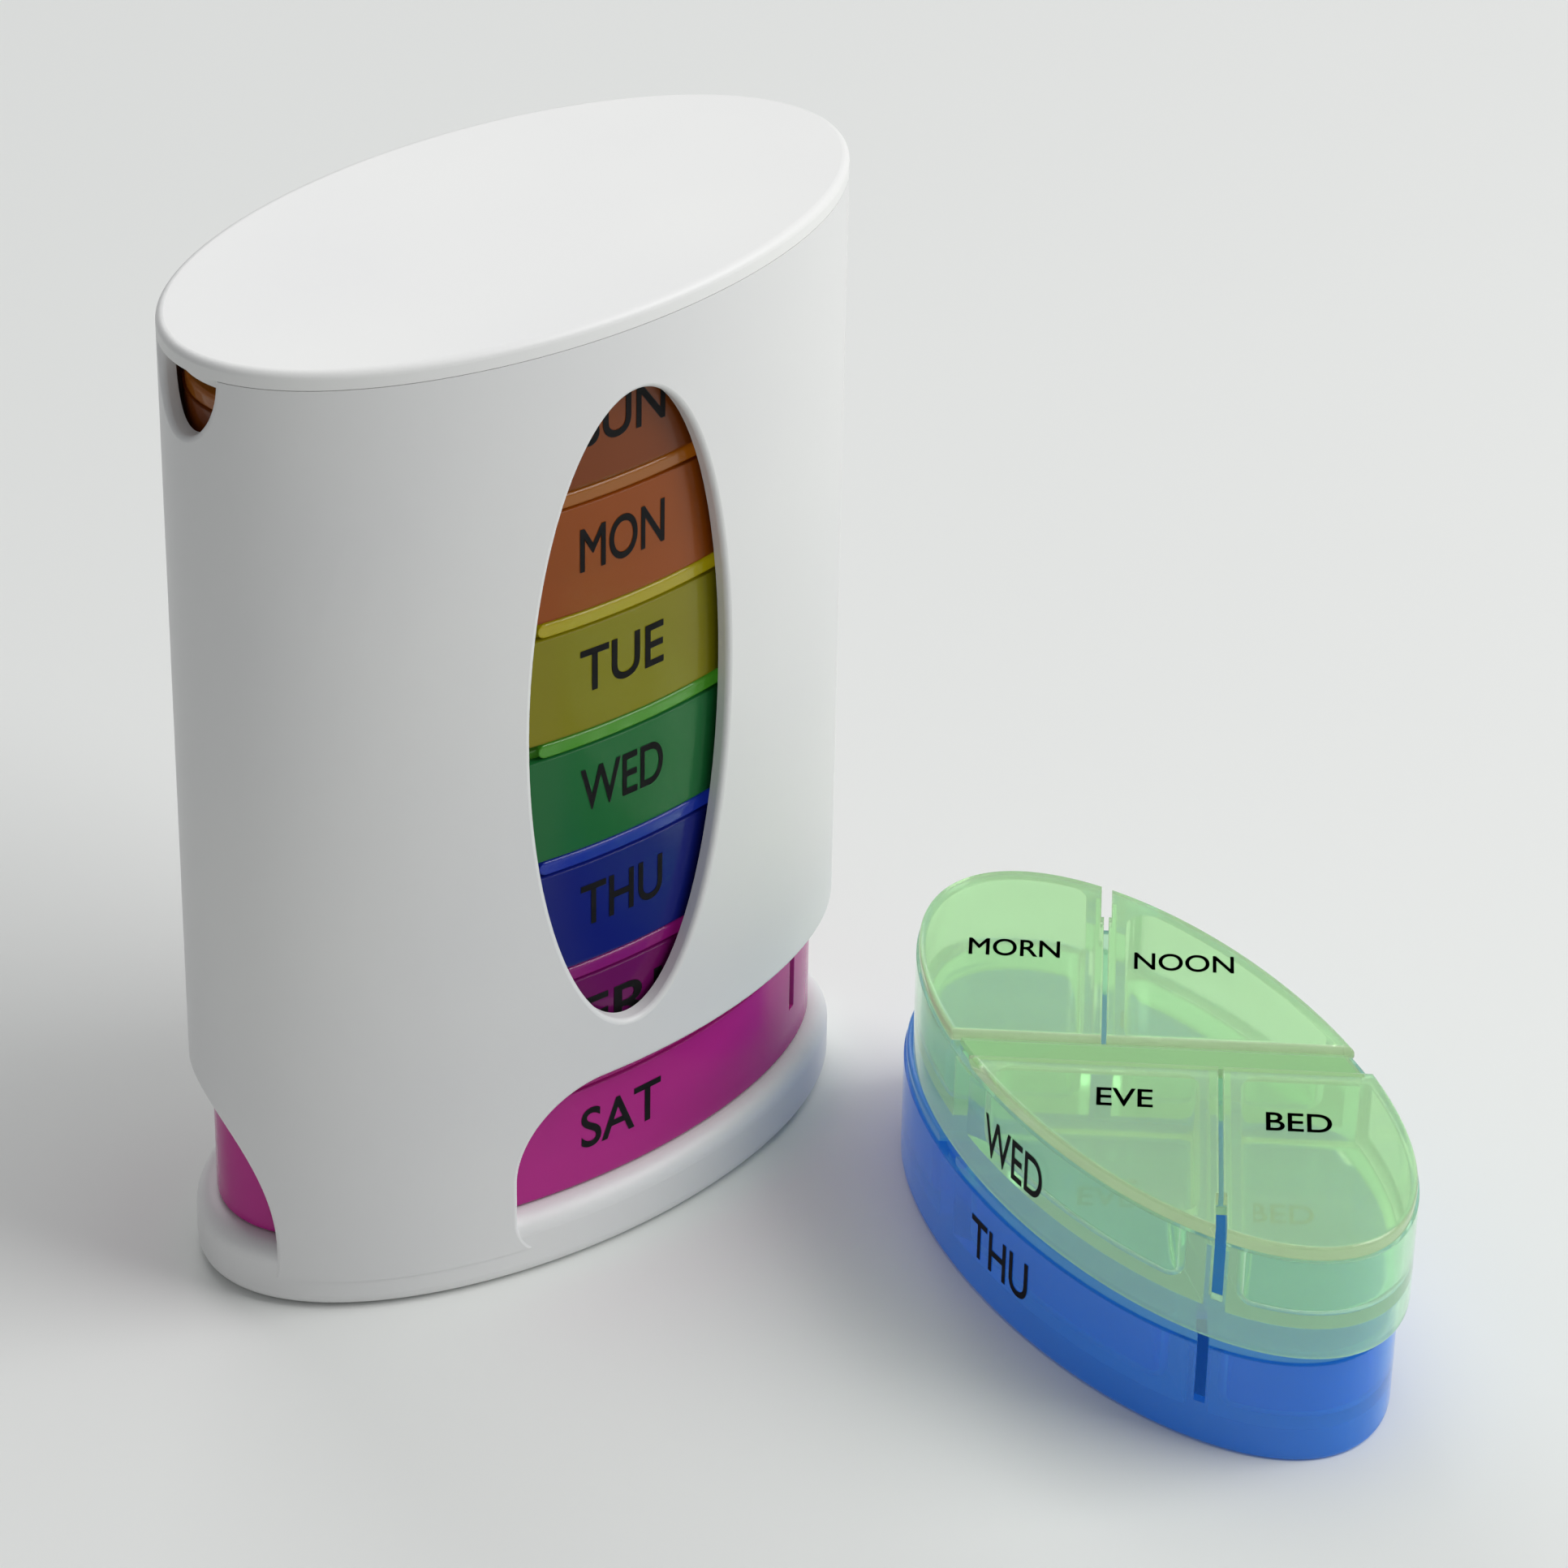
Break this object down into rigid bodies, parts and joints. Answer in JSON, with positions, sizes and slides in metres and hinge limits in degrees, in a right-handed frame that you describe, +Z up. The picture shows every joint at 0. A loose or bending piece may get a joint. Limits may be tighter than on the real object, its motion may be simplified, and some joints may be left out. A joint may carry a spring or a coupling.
{
  "type": "pill organizer tower",
  "caption": "Oval white sleeve with a lift-off cap that holds a stack of tinted day trays, each with flap-lidded pill cups, and a stacked pair of trays beside it.",
  "frame": {"origin": "middle of the tower's foot, on the table it stands on", "axes": "+Z up; -Y is the broad front with the window; +X is the end where the bottom tray slides out"},
  "size_m": [0.1139, 0.1345, 0.1305],
  "materials": {
    "white_shell": "satin white injection moulding",
    "sun_tint": "glossy see-through tinted injection moulding",
    "mon_tint": "glossy see-through tinted injection moulding",
    "tue_tint": "glossy see-through tinted injection moulding",
    "wed_tint": "glossy see-through tinted injection moulding",
    "thu_tint": "glossy see-through tinted injection moulding",
    "fri_tint": "glossy see-through tinted injection moulding",
    "sat_tint": "glossy see-through tinted injection moulding"
  },
  "bodies": {
    "tower": {"tower_sleeve": "white_shell"},
    "cap": {"top_cap": "white_shell"},
    "tray_sat": {"sat_tray": "sat_tint", "sat_lid_spine": "sat_tint", "sat_morn_flap": "sat_tint", "sat_noon_flap": "sat_tint", "sat_eve_flap": "sat_tint", "sat_bed_flap": "sat_tint"},
    "tray_fri": {"fri_tray": "fri_tint", "fri_lid_spine": "fri_tint", "fri_morn_flap": "fri_tint", "fri_noon_flap": "fri_tint", "fri_eve_flap": "fri_tint", "fri_bed_flap": "fri_tint"},
    "tray_thu": {"thu_tray": "thu_tint", "thu_lid_spine": "thu_tint", "thu_morn_flap": "thu_tint", "thu_noon_flap": "thu_tint", "thu_eve_flap": "thu_tint", "thu_bed_flap": "thu_tint"},
    "tray_wed": {"wed_tray": "wed_tint", "wed_lid_spine": "wed_tint", "wed_morn_flap": "wed_tint", "wed_noon_flap": "wed_tint", "wed_eve_flap": "wed_tint", "wed_bed_flap": "wed_tint"},
    "tray_tue": {"tue_tray": "tue_tint", "tue_lid_spine": "tue_tint", "tue_morn_flap": "tue_tint", "tue_noon_flap": "tue_tint", "tue_eve_flap": "tue_tint", "tue_bed_flap": "tue_tint"},
    "tray_mon": {"mon_tray": "mon_tint", "mon_lid_spine": "mon_tint", "mon_morn_flap": "mon_tint", "mon_noon_flap": "mon_tint", "mon_eve_flap": "mon_tint", "mon_bed_flap": "mon_tint"},
    "tray_sun": {"sun_tray": "sun_tint", "sun_lid_spine": "sun_tint", "sun_morn_flap": "sun_tint", "sun_noon_flap": "sun_tint", "sun_eve_flap": "sun_tint", "sun_bed_flap": "sun_tint"},
    "loose_tray_thu": {"loose_thu_tray": "thu_tint", "loose_thu_lid_spine": "thu_tint", "loose_thu_morn_flap": "thu_tint", "loose_thu_noon_flap": "thu_tint", "loose_thu_eve_flap": "thu_tint", "loose_thu_bed_flap": "thu_tint"},
    "loose_tray_wed": {"loose_wed_tray": "wed_tint", "loose_wed_lid_spine": "wed_tint"},
    "flap_morn": {"loose_wed_morn_flap": "wed_tint"},
    "flap_noon": {"loose_wed_noon_flap": "wed_tint"},
    "flap_eve": {"loose_wed_eve_flap": "wed_tint"},
    "flap_bed": {"loose_wed_bed_flap": "wed_tint"}
  },
  "joints": [
    {"name": "sat_tray_slide", "type": "slide", "parent": "tower", "child": "tray_sat", "axis": [1, 0, 0], "range_m": [0, 0.095]},
    {"name": "fri_tray_lift", "type": "slide", "parent": "tower", "child": "tray_fri", "axis": [0, 0, 1], "range_m": [0, 0.106]},
    {"name": "thu_tray_lift", "type": "slide", "parent": "tray_fri", "child": "tray_thu", "axis": [0, 0, 1], "range_m": [0, 0.09]},
    {"name": "wed_tray_lift", "type": "slide", "parent": "tray_thu", "child": "tray_wed", "axis": [0, 0, 1], "range_m": [0, 0.073]},
    {"name": "tue_tray_lift", "type": "slide", "parent": "tray_wed", "child": "tray_tue", "axis": [0, 0, 1], "range_m": [0, 0.057]},
    {"name": "mon_tray_lift", "type": "slide", "parent": "tray_tue", "child": "tray_mon", "axis": [0, 0, 1], "range_m": [0, 0.04]},
    {"name": "sun_tray_lift", "type": "slide", "parent": "tray_mon", "child": "tray_sun", "axis": [0, 0, 1], "range_m": [0, 0.024]},
    {"name": "cap_lift", "type": "slide", "parent": "tray_sun", "child": "cap", "axis": [0, 0, 1], "range_m": [0, 0.03]},
    {"name": "loose_thu_tray_lift", "type": "slide", "parent": "tower", "child": "loose_tray_thu", "axis": [0, 0, 1], "range_m": [0, 0.06]},
    {"name": "loose_wed_tray_lift", "type": "slide", "parent": "loose_tray_thu", "child": "loose_tray_wed", "axis": [0, 0, 1], "range_m": [0, 0.06]},
    {"name": "morn_flap_hinge", "type": "hinge", "parent": "loose_tray_wed", "child": "flap_morn", "pos_m": [0.04801, -0.06527, 0.0319], "axis": [0.7431, -0.6691, 0], "range_deg": [0, 90]},
    {"name": "noon_flap_hinge", "type": "hinge", "parent": "loose_tray_wed", "child": "flap_noon", "pos_m": [0.04801, -0.06527, 0.0319], "axis": [0.7431, -0.6691, 0], "range_deg": [0, 90]},
    {"name": "eve_flap_hinge", "type": "hinge", "parent": "loose_tray_wed", "child": "flap_eve", "pos_m": [0.04399, -0.06973, 0.0319], "axis": [-0.7431, 0.6691, 0], "range_deg": [0, 90]},
    {"name": "bed_flap_hinge", "type": "hinge", "parent": "loose_tray_wed", "child": "flap_bed", "pos_m": [0.04399, -0.06973, 0.0319], "axis": [-0.7431, 0.6691, 0], "range_deg": [0, 90]}
  ]
}
